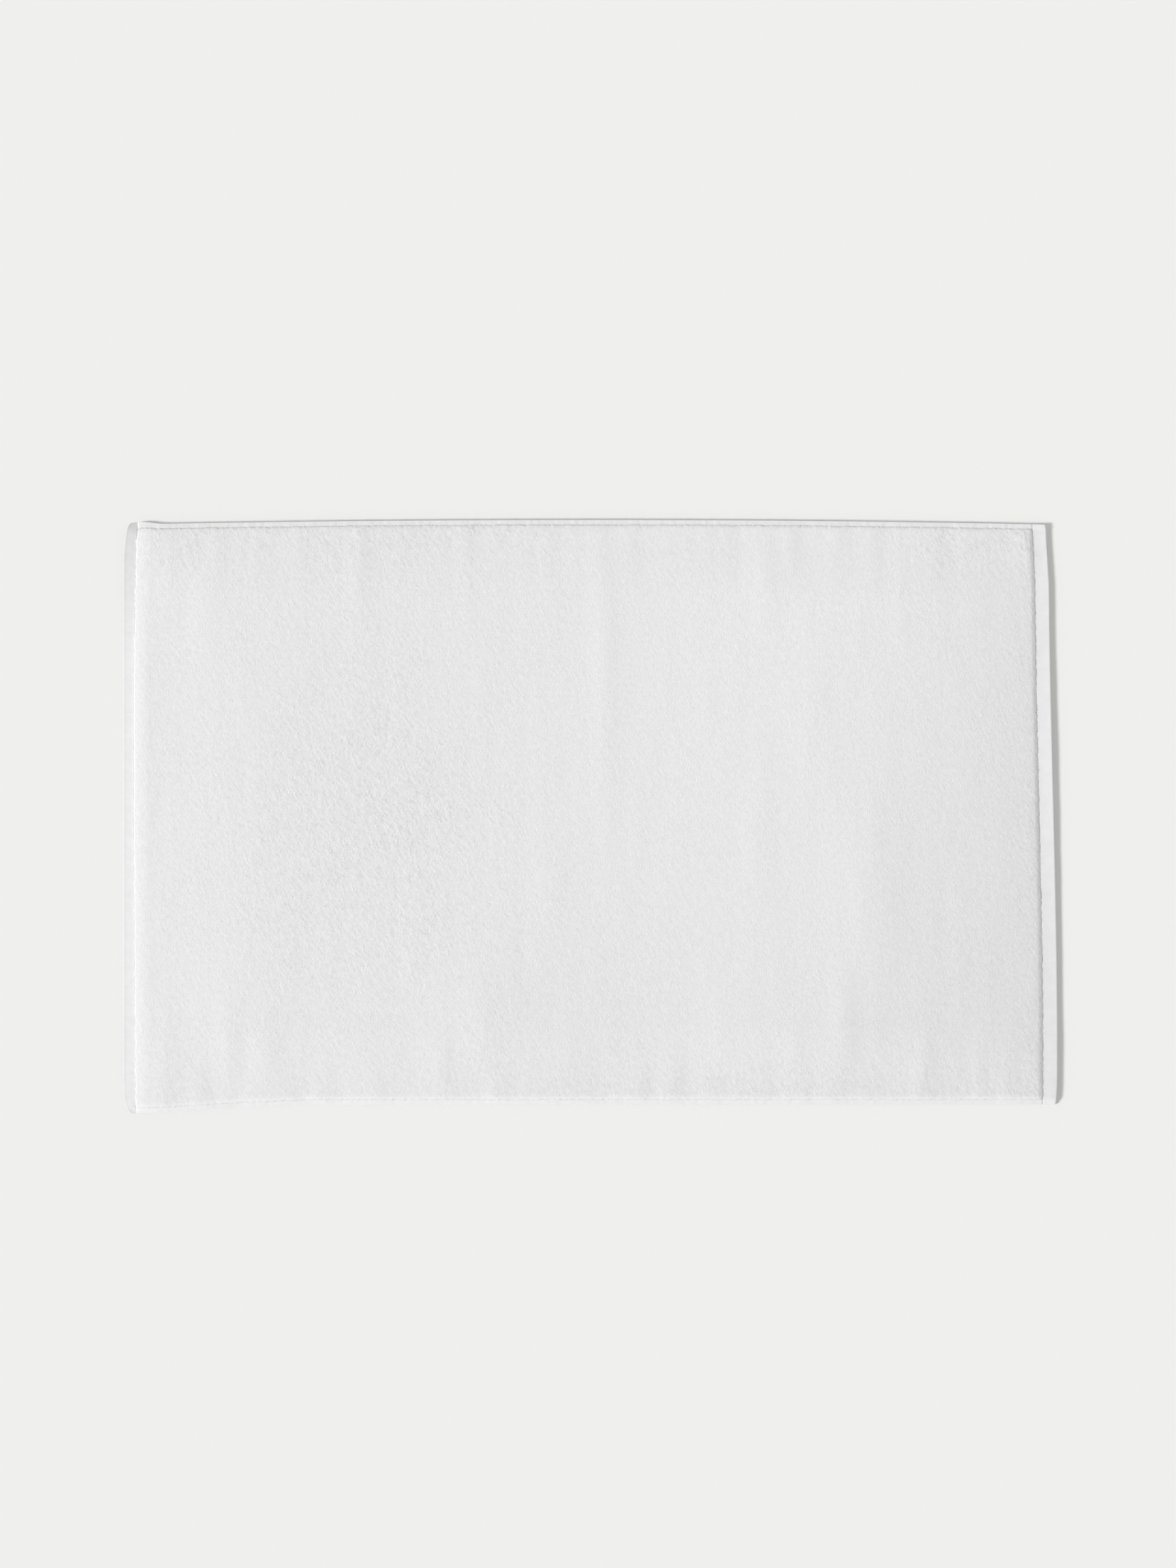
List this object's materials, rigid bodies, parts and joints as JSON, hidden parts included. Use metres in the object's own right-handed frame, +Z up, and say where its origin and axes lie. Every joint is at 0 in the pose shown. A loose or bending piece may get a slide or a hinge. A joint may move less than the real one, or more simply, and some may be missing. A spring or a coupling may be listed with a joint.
{
  "type": "bath mat",
  "caption": "Rectangular cotton terry bath mat lying flat, looped pile on both faces inside folded and lockstitched flat-woven hems.",
  "frame": {"origin": "centre of the mat's bounding box, on the floor that it lies on", "axes": "+X along the mat's length towards its right end, +Y across it towards its back edge, +Z up out of the top pile"},
  "size_m": [0.8, 0.5, 0.0052],
  "materials": {
    "ground_weave": "matt plain weave",
    "terry_loops": "matt looped pile",
    "hem_weave": "matt fine twill weave",
    "sewing_thread": "slightly lustrous spun thread"
  },
  "bodies": {
    "root": {"ground_cloth": "ground_weave", "top_pile": "terry_loops", "underside_pile": "terry_loops", "left_end_hem": "hem_weave", "right_end_hem": "hem_weave", "back_side_hem": "hem_weave", "front_side_hem": "hem_weave", "left_needle_thread": "sewing_thread", "left_bobbin_thread": "sewing_thread", "right_needle_thread": "sewing_thread", "right_bobbin_thread": "sewing_thread", "back_needle_thread": "sewing_thread", "back_bobbin_thread": "sewing_thread", "front_needle_thread": "sewing_thread", "front_bobbin_thread": "sewing_thread"}
  },
  "joints": []
}
